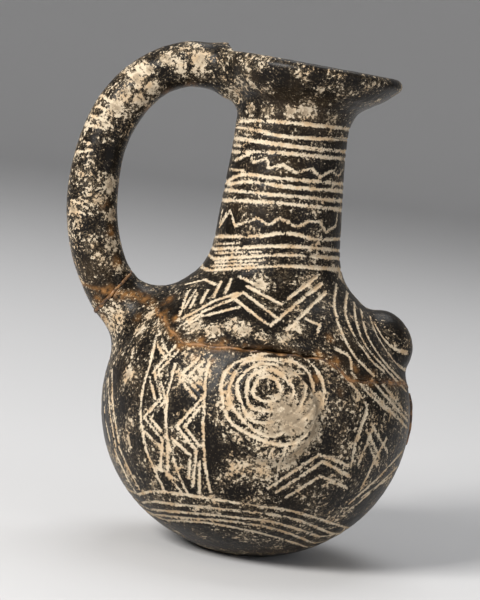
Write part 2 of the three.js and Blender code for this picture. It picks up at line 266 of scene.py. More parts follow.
def wallDistance(points, outline):  # to the neck and mouth, negative inside
    far = np.full(len(points), farAway)
    near = np.flatnonzero(points[:, 0] > neckReach)
    at = straighten(points[near])[:, None]
    a, b = outline[None], np.roll(outline, -1, axis=0)[None]
    side = b - a
    length = np.maximum((side ** 2).sum(2), 1e-9)
    share = np.clip(((at - a) * side).sum(2) / length, 0, 1)
    distance = norm(at - a - share[..., None] * side, axis=2).min(1)
    above = (a[..., 1] > at[..., 1]) != (b[..., 1] > at[..., 1])
    rise = np.where(np.abs(side[..., 1]) < 1e-9, 1e-9, side[..., 1])
    crossing = above & (at[..., 0] < side[..., 0] * (at[..., 1] - a[..., 1]) / rise + a[..., 0])
    far[near] = np.where(crossing.sum(1) % 2, -distance, distance)
    return far


def turned(section, columns):
    azimuth = around(columns)
    rows = np.empty((len(section), columns, 3))
    rows[..., 0] = section[:, :1] * np.cos(azimuth)
    rows[..., 1] = section[:, :1] * np.sin(azimuth)
    rows[..., 2] = section[:, 1:2]
    return rows


# The handle's middle line, from the body round the loop into the mouth, and the loop handle itself
handle = {
    "reach": 50.0, "bend": 26, "top": 126.3, "rootLatitude": 33, "rootDrop": 2.4,
    "loopAngles": [-55, -40, -25, -10, 5, 20, 35, 50, 65, 80, 90], "mouthEnd": -19.2, "mouthDrop": 0.3,
    "along": [0, 0.15, 0.35, 0.6, 0.8, 1], "radii": [7.9, 6.8, 6.7, 6.35, 6.05, 5.9], "uneven": 0.22,
    "unevenSize": 13, "fineSteps": 500, "steps": 170, "join": 6, "smear": 5.4, "clearMouth": 0.7,
    "low": (-60, -11, 52), "high": (-12, 11, 136), "voxel": 0.45, "dust": 0.36,
}
handleBreak = {"at": 8.5, "lean": -14, "gap": 0.3, "ragged": 0.35, "raggedSize": 2.4}


def handleLine():
    root = bodyPoint(np.radians(handle["rootLatitude"]), math.pi)
    bottom = root[2] - handle["rootDrop"]
    middle, rise = (handle["top"] + bottom) / 2, (handle["top"] - bottom) / 2
    depth = handle["reach"] - handle["bend"]
    loop = [(-handle["bend"] - depth * math.cos(a), 0, middle + rise * math.sin(a))
            for a in np.radians(handle["loopAngles"])]
    end = (handle["mouthEnd"], 0, handle["top"] - handle["mouthDrop"])
    line = spline([root, *loop, end], handle["fineSteps"])
    along = np.concatenate([[0], norm(np.diff(line, axis=0), axis=1).cumsum()])
    even = np.linspace(0, along[-1], handle["steps"])
    line = np.stack([np.interp(even, along, line[:, k]) for k in range(3)], 1)
    thickness = np.interp(even / along[-1], handle["along"], handle["radii"])
    thickness += handle["uneven"] * noise(line, handle["unevenSize"], 2.0)
    return line, thickness, even


coilLine, coilRadius, coilAlong = handleLine()
pointsAtOnce = 60000  # keeps the tables of distances small


def coilDistance(points, first=0.0, last=1e9):
    chosen = (coilAlong >= first) & (coilAlong <= last)
    line, radius = coilLine[chosen], coilRadius[chosen]
    found = np.empty(len(points))
    for start in range(0, len(points), pointsAtOnce):
        part = points[start:start + pointsAtOnce]
        away = norm(part[:, None] - line[None], axis=2)
        found[start:start + pointsAtOnce] = (away - radius).min(1)
    return found


def breakPlane(points):  # positive beyond the handle's break, seen from the body
    at = int(np.searchsorted(coilAlong, handleBreak["at"]))
    along = coilLine[at + 1] - coilLine[at - 1]
    tilt = Matrix.Rotation(math.radians(handleBreak["lean"]), 3, "Y")
    normal = np.array(tilt @ Vector(along).normalized())
    ragged = handleBreak["ragged"] * noise(points, handleBreak["raggedSize"], 9.0)
    return (points - coilLine[at]) @ normal + ragged


# Meshes
def smoothMesh(name, points, faces):
    mesh = bpy.data.meshes.new(name)
    mesh.from_pydata(points.tolist(), [], faces)
    mesh.polygons.foreach_set("use_smooth", np.ones(len(mesh.polygons), bool))
    mesh.update()
    return mesh


def numbered(rows):
    return np.arange(rows[..., 0].size).reshape(rows.shape[:2])


def quadsBetween(index):
    here, there = index[:-1], index[1:]
    corners = [here, np.roll(here, -1, 1), np.roll(there, -1, 1), there]
    return np.stack(corners, -1).reshape(-1, 4).tolist()


def closeRows(rows, startPole=None, endPole=None):
    count, columns = rows.shape[:2]
    points = rows.reshape(-1, 3)
    index = numbered(rows)
    if startPole is None:
        return points, quadsBetween(np.vstack([index, index[:1]]))
    faces = quadsBetween(index)
    points = np.vstack([points, startPole, endPole])
    first, last = len(points) - 2, len(points) - 1
    top = (count - 1) * columns
    for j in range(columns):
        k = (j + 1) % columns
        faces.append((first, k, j))
        faces.append((last, top + j, top + k))
    return points, faces


band = 3.0  # millimetres of distance kept on either side of a surface


def blobMesh(field, low, high, voxel):
    axes = [np.arange(a, b, voxel) for a, b in zip(low, high)]
    where = np.stack(np.meshgrid(*axes, indexing="ij"), -1).reshape(-1, 3)
    values = field(where).reshape([len(a) for a in axes])
    grid = openvdb.FloatGrid(band)
    grid.copyFromArray(np.clip(values, -band, band).astype(np.float32))
    grid.transform = openvdb.createLinearTransform(voxelSize=voxel)
    points, quads = grid.convertToQuads(0.0)
    return np.array(points, float) + low, np.array(quads).tolist()


def bead(line, outward, radius, sides=10):
    along = unit(np.roll(line, -1, 0) - np.roll(line, 1, 0))
    across = np.cross(along, outward)
    turn = np.linspace(0, 2 * math.pi, sides, endpoint=False)[None, :, None]
    circle = across[:, None] * np.cos(turn) + outward[:, None] * np.sin(turn)
    return line[:, None] + radius[:, None, None] * circle


def alongAxis(points, foot, axis):
    depth = (points - foot) @ axis
    return depth, norm(points - foot - depth[:, None] * axis, axis=1)


# From the photograph's pixels to the jug
sight = {"lowest": -1.33, "highest": 1.1, "rows": 60, "columns": 160, "turnColumns": 120, "coilSides": 40}


def jugTree():
    latitude = np.linspace(sight["lowest"], sight["highest"], sight["rows"])[:, None]
    neckRows = turned(np.vstack([neckOutside[::5], neckOutside[-1:]]), sight["turnColumns"])
    mouthRows = lean(turned(np.concatenate([mouthOutside[::3], mouthLip[::3]]), sight["turnColumns"]))
    line, radius = coilLine[3:-3], coilRadius[3:-3]
    sideways = np.tile((0.0, 1.0, 0.0), (len(line), 1))
    coilRows = bead(line, sideways, radius, sight["coilSides"])
    points, faces = [], []
    for rows in (bodyPoint(latitude, around(sight["columns"])[None]), neckRows, mouthRows, coilRows):
        faces += quadsBetween(numbered(rows) + len(points))
        points += rows.reshape(-1, 3).tolist()
    return BVHTree.FromPolygons(points, faces)


tree = jugTree()


def onJug(pixel):
    across = (pixel[0] - photo["width"] / 2) / photo["focalPixels"]
    up = (photo["height"] / 2 - pixel[1]) / photo["focalPixels"]
    ray = eye.to_3x3() @ Vector((across, up, -1))
    return tree.ray_cast(eye.translation, ray.normalized())[0]


strokeStep = 3  # pixels between the points of a line
curveSteps = 8  # points of a curve for each one read from the photograph


def stroke(pixels, curved=False):
    pixels = np.array(pixels, float)
    if curved and len(pixels) > 2:
        pixels = spline(pixels, curveSteps * len(pixels))
    fine = [pixels[0]]
    for a, b in zip(pixels[:-1], pixels[1:]):
        steps = max(1, int(norm(b - a) / strokeStep))
        fine += [a + (b - a) * k / steps for k in range(1, steps + 1)]
    found = [onJug(pixel) for pixel in fine]
    return np.array([tuple(p) for p in found if p is not None])


print("camera and shapes ready")


# Incised lines, read from the photograph, as pixels
neckRings = [
    [(239, 121.6), (270, 121.6), (310, 125), (348, 130)], [(236, 127), (262, 132), (288, 137), (348, 140.5)],
    [(234, 139), (260, 142), (288, 146), (346, 152.6)], [(233, 152.6), (283, 153.5), (345, 160)],
    [(226, 182), (243, 175), (270.5, 177.6), (296, 180), (341, 185)],
    [(227.5, 185), (253, 182), (288, 187), (341, 192)], [(224, 190.5), (267, 194), (341, 202)],
    [(222, 201), (269, 202), (305, 206), (341, 211)],
    [(215, 237), (253, 236), (281, 233.5), (298, 235), (315, 240), (338, 240)],
    [(215, 249), (281, 246), (338, 251)], [(214, 258.5), (281, 255), (338, 259)],
    [(208.5, 270), (281, 266), (337, 270)],
]
neckZigzags = [
    [(234, 161), (251, 154), (253, 163), (267, 158), (269, 168), (284, 165.5), (296, 173), (312, 169),
     (320.5, 178), (331, 171.5), (339, 177), (343, 171.5)],
    [(219, 227), (230, 211), (235, 226), (258.5, 218), (269, 225), (281, 218), (298, 227.5), (310, 221.5),
     (320.5, 223), (326.5, 233), (336, 227), (338, 215)],
]
neckStrokes = [
    [(229, 170), (243, 171)], [(222, 211), (219, 224), (226, 214)], [(233, 146), (244, 147)],
    [(216, 253), (262, 251)], [(215, 262), (266, 260)], [(216, 244), (240, 243)],
    [(212, 265.5), (258, 263.5)],
]
chevrons = [
    [(248, 286), (282, 304.5), (319, 275.5)], [(244, 292), (276, 317)],
    [(233, 297), (269.5, 326), (322, 284)], [(287, 330), (327, 292)],
    [(178, 320), (196, 311), (216, 300), (240, 292.5)], [(183, 323), (206, 310), (231, 300), (244, 292)],
    [(189, 323), (201, 316), (240, 307)], [(189, 290), (180, 314.5)], [(196, 290), (184.5, 308)],
    [(198, 292), (191, 307)], [(208, 290), (202, 302)], [(186, 284), (205, 279), (216, 284)],
    [(222, 281), (214, 297)], [(232, 279), (226, 293)], [(306, 319), (320, 325), (317, 333)],
    [(240, 276), (262, 287)],
]
shoulderFan = [
    [(336.5, 285), (335, 305), (340.5, 329), (354, 354.5), (374, 375)],
    [(347, 292), (346, 313), (354, 334.5), (371, 359), (385, 371)],
    [(354, 302), (357, 324), (367, 346.5), (387, 369), (407.5, 391)],
    [(361, 309), (367, 334.5), (383, 359), (407.5, 385)], [(370, 316), (378, 336), (394, 359), (409, 375)],
    [(374, 322), (386, 341), (407.5, 367)], [(339, 369), (355, 388), (367, 407), (362, 424), (358, 440)],
    [(381, 380), (407.5, 415)], [(362, 381), (385, 404), (407.5, 428)], [(372, 379), (408, 421)],
    [(336, 349), (349, 356), (351, 368)], [(351, 372), (372, 396), (398, 418)],
]
panelLines = [
    [(155, 340), (150.6, 360), (146, 375), (142.4, 391), (140.4, 411), (142, 431), (146, 451), (150.5, 462),
     (159.4, 481), (164.5, 492)],
    [(175, 363), (170.5, 380), (167.4, 392), (166.8, 403), (165.2, 414), (166.3, 438), (170.8, 453),
     (178, 474.6), (187.5, 494)],
    [(209, 363), (205.4, 375), (204, 401), (203, 430), (205, 465), (211, 495.5)],
    [(104, 385), (105, 415), (110, 440)], [(108, 378), (110, 412), (116, 446)],
    [(112, 370), (113, 405), (119, 443)], [(115, 450), (127, 477), (136, 492)],
    [(119, 447), (131, 473), (139, 488)],
]
panelZigzags = [
    [(175, 345), (153.7, 370), (161, 398), (143.5, 418), (162, 441), (160, 468), (180.5, 491)],
    [(178, 350), (158, 371), (165, 400), (150, 419), (167, 440), (167, 470)], [(149, 377), (155, 399)],
    [(144, 432.5), (159, 447)], [(155.6, 467.6), (176.6, 480)],
    [(198, 358), (182, 373), (203, 397), (176, 427), (196, 451), (192, 488)],
    [(203, 361), (189, 374), (206, 390)], [(200, 407), (184, 427), (199, 446)], [(178, 376), (195, 398)],
    [(172, 440), (190, 456), (188, 478)], [(199, 462), (199, 497)], [(158, 346), (166, 358)],
    [(163, 344), (170, 355)],
]
baseRings = [
    [(138, 494), (152, 491), (173, 492.6), (215, 499), (253, 505), (291, 511), (330, 522), (351, 529)],
    [(142, 502), (156, 501), (176.5, 504), (215, 508), (253, 512), (291, 518), (330, 532), (345, 536)],
    [(149, 509), (186, 512), (224, 515.6), (263, 520), (291, 527), (320, 536.6)],
    [(154, 514), (186, 517.5), (224, 520), (263, 526), (291, 534), (314, 543)],
    [(166, 520), (205, 522), (243.5, 529), (272, 536), (307, 547)],
]
lowerChevrons = [
    [(268, 488), (320, 454), (351, 467), (356, 440), (367, 408)], [(276, 492), (323, 461.5), (350, 477)],
    [(286, 497), (320, 476), (347, 488)], [(358, 465), (368, 440), (374, 424)], [(354, 507), (400, 465)],
    [(350, 503), (378, 478), (402, 452)], [(361, 490), (373, 463), (386, 438)], [(366, 430), (379, 458)],
    [(367, 441), (377, 466)], [(371, 424), (387, 452)], [(362, 497), (392, 476)], [(284, 446), (276, 480)],
]
handleStrokes = [
    [(85.5, 114), (102, 119)], [(79, 123), (97, 127)], [(75, 140), (90, 144)], [(74, 152), (91, 150)],
    [(92, 103), (106, 110)], [(136, 66), (142, 74)], [(141, 64), (149, 73)], [(128, 72), (137, 82)],
    [(71, 200), (80, 203)], [(69, 210), (84, 214)], [(100, 94), (114, 103)],
]
rosette = {
    "centre": (266, 391), "drift": (7, 4), "rings": [13, 22, 32, 42, 51], "squash": 0.88,
    "uneven": 0.05, "finer": 0.03, "points": 60,
}
incision = {  # half widths, then how the lines are cut, in millimetres; secondZigzag in degrees
    "neckRings": 0.46, "neckZigzags": 0.36, "neckStrokes": 0.3, "baseRings": 0.42, "chevrons": 0.46,
    "curves": 0.4, "zigzags": 0.4, "rosette": 0.44, "handle": 0.42, "secondZigzag": 175, "depth": 0.3,
    "slope": 0.4, "unevenWidth": 0.3, "unevenSize": 3.5, "snapWithin": 0.2, "snap": 0.8, "reach": 1.4,
    "far": 3.0,
}
backRipple = {"points": 240, "height": 0.35, "size": 12, "perRing": 9}


def rosetteRings():
    found = []
    turn = np.linspace(0, 2 * math.pi, rosette["points"])
    for number, size in enumerate(rosette["rings"]):
        share = number / (len(rosette["rings"]) - 1)
        uneven = rosette["uneven"] * np.sin(3 * turn + number)
        uneven += rosette["finer"] * np.sin(5 * turn + 2 * number)
        radius = size * (1 + uneven)
        x = rosette["centre"][0] + share * rosette["drift"][0] + radius * np.cos(turn)
        y = rosette["centre"][1] + share * rosette["drift"][1] + radius * rosette["squash"] * np.sin(turn)
        found.append(stroke(np.stack([x, y], 1)))
    return found


def roundTheBack(line):  # carries a ring that the camera sees on round the hidden side
    azimuth = np.arctan2(line[:, 1], line[:, 0])
    order = np.argsort(azimuth)
    azimuth, level = azimuth[order], line[order, 2]
    whole = np.linspace(-math.pi, math.pi, backRipple["points"])
    radius = np.hypot(line[order, 0], line[order, 1])
    level = np.interp(whole, azimuth, level, period=2 * math.pi)
    radius = np.interp(whole, azimuth, radius, period=2 * math.pi)
    x, y = radius * np.cos(whole), radius * np.sin(whole)
    unseen = (whole > azimuth.max()) | (whole < azimuth.min())
    where = np.stack([x, y, level * backRipple["perRing"]], 1)
    ripple = backRipple["height"] * noise(where, backRipple["size"], 4.0)
    return np.stack([x, y, level + np.where(unseen, ripple, 0)], 1)


def turnedRound(line, degrees):
    a = math.radians(degrees)
    return line @ np.array([(math.cos(a), math.sin(a), 0), (-math.sin(a), math.cos(a), 0), (0, 0, 1)])


def cut(lines, kind, curved=False):
    return [(stroke(line, curved), incision[kind]) for line in lines]


def incise():
    rings = [(roundTheBack(line), half) for line, half in cut(neckRings, "neckRings", True)]
    for line, half in cut(neckZigzags, "neckZigzags"):
        rings += [(turnedRound(line, degrees), half) for degrees in (0, incision["secondZigzag"])]
    rings += cut(neckStrokes, "neckStrokes")
    bands = [(roundTheBack(line), half) for line, half in cut(baseRings, "baseRings", True)]
    figures = cut(chevrons, "chevrons") + cut(shoulderFan + panelLines, "curves", True)
    figures += cut(panelZigzags + lowerChevrons, "zigzags")
    circles = [(line, incision["rosette"]) for line in rosetteRings()]
    hidden = [(turnedRound(line, 180), half) for line, half in figures + circles]
    return {
        "neck": rings,
        "body": bands + figures + circles + hidden,
        "handle": cut(handleStrokes, "handle"),
    }


incisions = incise()
print("incised lines placed")


def nearestIncision(points, lines):  # how far each point is off a line's edge, and the line's middle
    away = np.full(len(points), incision["far"])
    snapped = points.copy()
    reach, rowsAtOnce = incision["reach"], 8000
    for line, half in lines:
        if len(line) < 2:
            continue
        near = np.flatnonzero(((points > line.min(0) - reach) & (points < line.max(0) + reach)).all(1))
        for start in range(0, len(near), rowsAtOnce):
            chosen = near[start:start + rowsAtOnce]
            at = points[chosen][:, None]
            a, side = line[:-1][None], np.diff(line, axis=0)[None]
            share = np.clip(((at - a) * side).sum(2) / np.maximum((side ** 2).sum(2), 1e-9), 0, 1)
            foot = a + share[..., None] * side
            distance = norm(at - foot, axis=2)
            best = distance.argmin(1)
            row = np.arange(len(chosen))
            uneven = incision["unevenWidth"] * noise(points[chosen], incision["unevenSize"], 6.0)
            gain = distance[row, best] - half * (1 + uneven)
            better = gain < away[chosen]
            away[chosen[better]] = gain[better]
            close = better & (distance[row, best] < incision["snapWithin"])
            snapped[chosen[close]] = foot[row, best][close]
    return away, snapped


# Patches of lime crust, of slip that stayed clear of it and of brown stain, as pixel, radius in pixels
# and strength; the clear patches along the front of the break are painted shade under the ledge instead
crustPatches = [
    (250, 110, 8, 1), (268, 111, 8, 1), (290, 112, 7, 1), (304, 112, 7, 1), (330, 118, 8, 1),
    (316, 116, 6, 0.7), (200, 60, 9, 0.9), (180, 66, 8, 0.8), (165, 60, 9, 1), (150, 68, 7, 1),
    (138, 78, 8, 1), (126, 92, 8, 0.9), (116, 108, 9, 1), (104, 124, 7, 0.8), (140, 100, 8, 0.7),
    (152, 88, 8, 0.8), (128, 118, 7, 0.6), (96, 140, 6, 0.5), (225, 64, 8, 0.8), (245, 66, 9, 0.7),
    (262, 68, 8, 0.6), (110, 185, 8, 1), (100, 200, 7, 0.8), (112, 215, 8, 1), (72, 208, 7, 1),
    (78, 222, 7, 1), (84, 240, 6, 0.6), (112, 245, 9, 0.9), (96, 262, 8, 0.5), (120, 268, 8, 0.7),
    (120, 312, 8, 0.6), (108, 325, 8, 0.8), (118, 340, 9, 0.8), (140, 330, 9, 0.8), (108, 350, 6, 1),
    (128, 374, 8, 0.9), (150, 315, 7, 0.8), (115, 362, 7, 0.6), (133, 352, 8, 0.5), (128, 443, 8, 0.9),
    (118, 460, 6, 0.6), (112, 400, 6, 0.6), (196, 325, 9, 0.9), (215, 330, 9, 0.9), (230, 322, 8, 0.8),
    (245, 330, 9, 0.9), (262, 338, 9, 0.9), (285, 339, 9, 0.9), (181, 298, 6, 0.6), (259, 284, 8, 0.9),
    (297, 327, 7, 0.7), (200, 375, 10, 0.7), (186, 355, 9, 0.5), (190, 392, 8, 0.5), (284, 412, 20, 1.2),
    (300, 395, 14, 1), (262, 425, 12, 1), (310, 428, 12, 1.2), (240, 408, 9, 0.9), (300, 445, 10, 1.1),
    (288, 462, 9, 0.7), (246, 376, 6, 0.5), (290, 374, 9, 0.8), (272, 372, 6, 0.6), (260, 455, 13, 0.7),
    (240, 466, 13, 0.6), (225, 440, 10, 0.5), (268, 478, 9, 0.65), (225, 480, 11, 0.6), (250, 500, 12, 0.35),
    (345, 430, 7, 0.5), (340, 405, 5, 0.6), (390, 400, 18, 0.5), (385, 430, 14, 0.4), (376, 350, 10, 0.35),
    (395, 345, 6, 0.5), (300, 497, 9, 0.4), (330, 517, 8, 0.5), (240, 64, 8, 0.6), (320, 90, 5, 0.8),
    (253, 86, 4, 1), (310, 285, 5, 0.4), (340, 275, 6, 0.7), (270, 70, 6, 0.5), (300, 73, 6, 0.5),
    (330, 76, 6, 0.45), (360, 80, 6, 0.45), (390, 83, 6, 0.5), (300, 95, 9, 0.3), (270, 92, 7, 0.5),
    (90, 160, 8, 0.5), (76, 185, 7, 0.6), (88, 125, 7, 0.7), (75, 150, 6, 0.7), (108, 140, 9, 0.6),
    (333, 268, 4, 0.8), (225, 265, 12, 0.6), (235, 255, 10, 0.5), (262, 372, 12, 0.9), (285, 375, 14, 1),
    (308, 408, 14, 1.2), (292, 424, 15, 1.3), (272, 428, 13, 1.2), (255, 414, 11, 1), (280, 398, 12, 1.1),
    (246, 392, 8, 0.7), (298, 445, 10, 1.2), (292, 458, 8, 1.1), (365, 320, 24, 0.42), (385, 350, 20, 0.42),
    (378, 430, 24, 0.46), (352, 500, 18, 0.42), (332, 520, 14, 0.45), (250, 530, 20, 0.42),
    (200, 505, 18, 0.42), (150, 420, 22, 0.4), (120, 400, 18, 0.42),
]
clearSlipAndShadePatches = [
    (266, 391, 9, 1), (236, 408, 7, 0.8), (246, 426, 6, 0.7), (306, 384, 6, 0.7), (232, 385, 6, 0.6),
    # from (258, 345) on: painted shade, slip kept black under the overhanging ledge at the front of the
    # break
    (345, 395, 14, 0.7), (325, 465, 9, 0.6), (240, 448, 9, 0.5), (258, 345, 6, 1), (272, 347, 6, 1),
    (287, 349, 6, 1), (302, 352, 6, 0.9),
]
stainPatches = [
    (168, 300, 10, 0.8), (176, 318, 6, 1), (172, 335, 6, 0.9), (180, 345, 7, 1), (200, 342, 7, 1),
    (222, 345, 8, 1), (244, 348, 5, 0.9), (318, 355, 7, 1), (335, 362, 8, 1), (330, 338, 6, 0.8),
    (165, 312, 7, 0.6), (110, 290, 8, 0.9), (98, 300, 7, 0.8), (122, 296, 7, 0.8), (104, 318, 7, 0.9),
    (194, 358, 7, 0.5), (211, 362, 6, 0.6), (118, 262, 9, 0.6), (112, 232, 8, 0.7), (104, 205, 7, 0.5),
    (120, 190, 6, 0.5), (150, 110, 8, 0.6), (168, 92, 8, 0.5), (190, 84, 8, 0.5), (412, 400, 6, 1),
    (412, 420, 6, 1), (411, 440, 6, 1), (405, 385, 6, 0.6), (395, 380, 6, 0.6), (375, 374, 6, 0.5),
    (355, 368, 6, 0.7), (340, 392, 6, 0.3), (315, 378, 7, 0.6), (140, 320, 8, 0.5),
]
patchLook = {"crustSpread": 1.3, "clearSpread": 1.0, "stainSpread": 0.62, "mostCrust": 0.98, "stepIn": 2}
breakStainLook = {
    "amount": 0.62, "uneven": 0.7, "unevenSize": 6,
    "width": 1.1, "widthUneven": 0.5, "widthSize": 4, "clear": 0.9,
}


def patchStrength(points, patches, spread):
    strength = np.zeros(len(points))
    for x, y, radius, amount in patches:
        at = onJug((x, y)) or onJug((x - patchLook["stepIn"], y))  # just off the edge counts as on it
        if at is None:
            continue
        reach = spread * radius * photo["distance"] / photo["focalPixels"]
        away = ((points - tuple(at)) ** 2).sum(1) / reach ** 2
        strength = np.maximum(strength, amount * np.exp(-away))
    return strength


def breakStain(points):
    look = breakStainLook
    amount = np.clip(look["amount"] + look["uneven"] * noise(points, look["unevenSize"], 2.0), 0, 1)
    amount *= 1 - look["clear"] * gapShare(np.arctan2(points[:, 1], points[:, 0]))
    width = look["width"] + look["widthUneven"] * noise(points, look["widthSize"], 7.0)
    return amount * np.exp(-(offBreak(points) / width) ** 2)


# Materials
class Wire:  # a socket that takes part in sums
    def __init__(self, shade, socket):
        self.shade = shade
        self.socket = socket

    def math(self, operation, first, second):
        return self.shade.node("ShaderNodeMath", {"operation": operation}, {0: first, 1: second})

    def __add__(self, other):
        return self.math("ADD", self, other)

    def __radd__(self, other):
        return self.math("ADD", other, self)

    def __sub__(self, other):
        return self.math("SUBTRACT", self, other)

    def __rsub__(self, other):
        return self.math("SUBTRACT", other, self)

    def __mul__(self, other):
        return self.math("MULTIPLY", self, other)

    def __rmul__(self, other):
        return self.math("MULTIPLY", other, self)

    def larger(self, other):
        return self.math("MAXIMUM", self, other)

    def level(self, name):
        low, high = levels[name]
        return self.shade.node("ShaderNodeMapRange", {"interpolation_type": "SMOOTHSTEP"},
                               {"Value": self, "From Min": low, "From Max": high})


class Shade:
    def __init__(self, name):
        self.material = bpy.data.materials.new(name)
        self.material.use_nodes = True
        self.nodes = self.material.node_tree.nodes
        self.nodes.clear()
        self.where = self.node("ShaderNodeTexCoord", output="Object")

    def node(self, kind, settings=None, inputs=None, output=0):
        made = self.nodes.new(kind)
        for key, value in (settings or {}).items():
            setattr(made, key, value)
        for key, value in (inputs or {}).items():
            if isinstance(value, Wire):
                self.material.node_tree.links.new(value.socket, made.inputs[key])
            else:
                made.inputs[key].default_value = value
        return Wire(self, made.outputs[output]) if made.outputs else None

    def attribute(self, name):
        return self.node("ShaderNodeAttribute", {"attribute_name": name}, output="Fac")

    def grain(self, name):
        size, detail, roughness, shift = grains[name]
        shifts = (shift, shift, shift)
        moved = self.node("ShaderNodeVectorMath", {"operation": "ADD"}, {0: self.where, 1: shifts})
        return self.node("ShaderNodeTexNoise", None,
                         {"Vector": moved, "Scale": 1000 / size, "Detail": detail, "Roughness": roughness})

    def blend(self, share, first, second):
        return self.node("ShaderNodeMix", {"data_type": "RGBA"}, {0: share, 6: first, 7: second}, 2)

    def finish(self, inputs):
        shader = self.node("ShaderNodeBsdfPrincipled", None, inputs)
        self.node("ShaderNodeOutputMaterial", None, {"Surface": shader})
        return self.material


def colour(red, green, blue):
    linear = [((v / 255 + 0.055) / 1.055) ** 2.4 if v > 10 else v / 3294.6 for v in (red, green, blue)]
    return (*linear, 1)


clay = {
    "black": colour(12, 8, 5), "brown": colour(50, 39, 26), "grey": colour(96, 87, 74),
    "veil": colour(112, 98, 78), "lime": colour(208, 192, 167), "tan": colour(180, 144, 100),
    "rust": colour(142, 100, 56), "darkGlue": colour(58, 40, 26), "bare": colour(148, 132, 110),
}
grains = {  # size in millimetres, detail, roughness and shift of each noise
    "fine": (0.9, 4, 0.7, 0), "ragged": (0.55, 3, 0.7, 0.31), "patchy": (7, 3, 0.55, 0.12),
    "broad": (16, 2, 0.5, 0.55), "lost": (2.6, 3, 0.6, 0.77), "cloudy": (2.2, 4, 0.7, 0.91),
    "veil": (0.6, 4, 0.75, 0.5), "stained": (1.5, 3, 0.65, 0.43), "warm": (4, 3, 0.6, 0.63),
    "worn": (1.1, 3, 0.7, 0.2), "grime": (0.7, 3, 0.7, 0.37), "mottled": (2.4, 3, 0.6, 0),
    "fleck": (0.9, 3, 0.7, 0.3),
}
levels = {  # where each layer starts and where it is full
    "lost": (0.56, 0.68), "line": (-0.12, 0.12), "speck": (0, 0.05), "brown": (0.5, 0.85),
    "grey": (0.54, 0.76), "veil": (0.56, 0.67), "grimeAndShadeBeside": (0.05, 0.5), "stained": (0.3, 0.62),
    "warm": (0.42, 0.68), "bare": (0.6, 1), "worn": (0.3, 0.52), "grime": (0.5, 0.72),
    "mottled": (0.38, 0.62), "fleck": (0.58, 0.66),
}
slipLook = {
    "lineRagged": 1.7, "lineLost": 0.36,
    "specks": 0.65,  # lower for more lime
    "crustSpecks": 0.26, "patchSpecks": 0.5, "speckStrength": 0.92, "brown": 0.8, "brownRagged": 0.5,
    "grey": 0.45, "veil": 0.65, "veilOnCrust": 0.16, "veilInPatches": 0.35, "grimeAndShadeBesideLines": 0.6,
    "warm": 0.6, "grime": 0.45, "stainedLime": 0.75, "limeHeight": 0.6, "fineHeight": 0.5,
    "raggedHeight": 0.3, "bump": 0.55, "bumpDepth": 0.00012, "roughness": 0.32, "limeRoughness": 0.5,
    "patchRoughness": 0.12, "specular": 0.15,
}
glueLook = {"fleck": 0.7, "bump": 0.5, "bumpDepth": 0.0002, "roughness": 0.35, "mottledRoughness": 0.3}


def claySlip(name):
    s, look = Shade(name), slipLook
    fine, ragged, patchy, broad = s.grain("fine"), s.grain("ragged"), s.grain("patchy"), s.grain("broad")
    crust, stain, incised = s.attribute("crust"), s.attribute("stain"), s.attribute("incised")
    lost = s.grain("lost").level("lost")
    offLine = incised + (ragged - 0.5) * look["lineRagged"] + lost * look["lineLost"]
    threshold = look["specks"] - crust * look["crustSpecks"] - (patchy - 0.5) * look["patchSpecks"]
    speck = (fine - threshold).level("speck")
    lime = (1 - offLine.level("line")).larger(speck * look["speckStrength"])

    brown = broad + (ragged - 0.5) * look["brownRagged"]
    slip = s.blend(brown.level("brown") * look["brown"], clay["black"], clay["brown"])
    slip = s.blend(s.grain("cloudy").level("grey") * look["grey"], slip, clay["grey"])
    veil = s.grain("veil") + crust * look["veilOnCrust"] + (patchy - 0.5) * look["veilInPatches"]
    slip = s.blend(veil.level("veil") * look["veil"], slip, clay["veil"])
    # painted shade and dirt: the slip turns black just beside each incised line, where the groove's edge
    # lies in shade
    slip = s.blend((1 - incised.level("grimeAndShadeBeside")) * look["grimeAndShadeBesideLines"], slip, clay["black"])
    slip = s.blend(stain * s.grain("stained").level("stained"), slip, clay["rust"])

    pale = s.blend(s.grain("warm").level("warm") * look["warm"], clay["lime"], clay["tan"])
    pale = s.blend(crust.level("bare") * s.grain("worn").level("worn"), pale, clay["bare"])
    pale = s.blend(s.grain("grime").level("grime") * look["grime"], pale, clay["bare"])
    pale = s.blend(stain * look["stainedLime"], pale, clay["tan"])

    height = lime * look["limeHeight"] + fine * look["fineHeight"] + ragged * look["raggedHeight"]
    bump = {"Strength": look["bump"], "Distance": look["bumpDepth"], "Height": height}
    return s.finish({
        "Base Color": s.blend(lime, slip, pale),
        "Roughness": look["roughness"] + lime * look["limeRoughness"] + patchy * look["patchRoughness"],
        "Specular IOR Level": look["specular"],
        "Normal": s.node("ShaderNodeBump", None, bump),
    })


def mendGlue(name):
    s, look = Shade(name), glueLook
    mottled = s.grain("mottled")
    base = s.blend(mottled.level("mottled"), clay["rust"], clay["darkGlue"])
    base = s.blend(s.grain("fleck").level("fleck") * look["fleck"], base, clay["tan"])
    bump = {"Strength": look["bump"], "Distance": look["bumpDepth"], "Height": mottled}
    return s.finish({
        "Base Color": base,
        "Roughness": look["roughness"] + mottled * look["mottledRoughness"],
        "Normal": s.node("ShaderNodeBump", None, bump),
    })


finishes = {
    "black_slip": claySlip("black_slip"),
    "limed_clay": claySlip("limed_clay"),
    "mend_adhesive": mendGlue("mend_adhesive"),
}
print("materials ready")


# Pieces
surface = {"pitting": 0.05, "pitSize": 1.1, "flatBelow": 0.4, "roundAbove": 2}


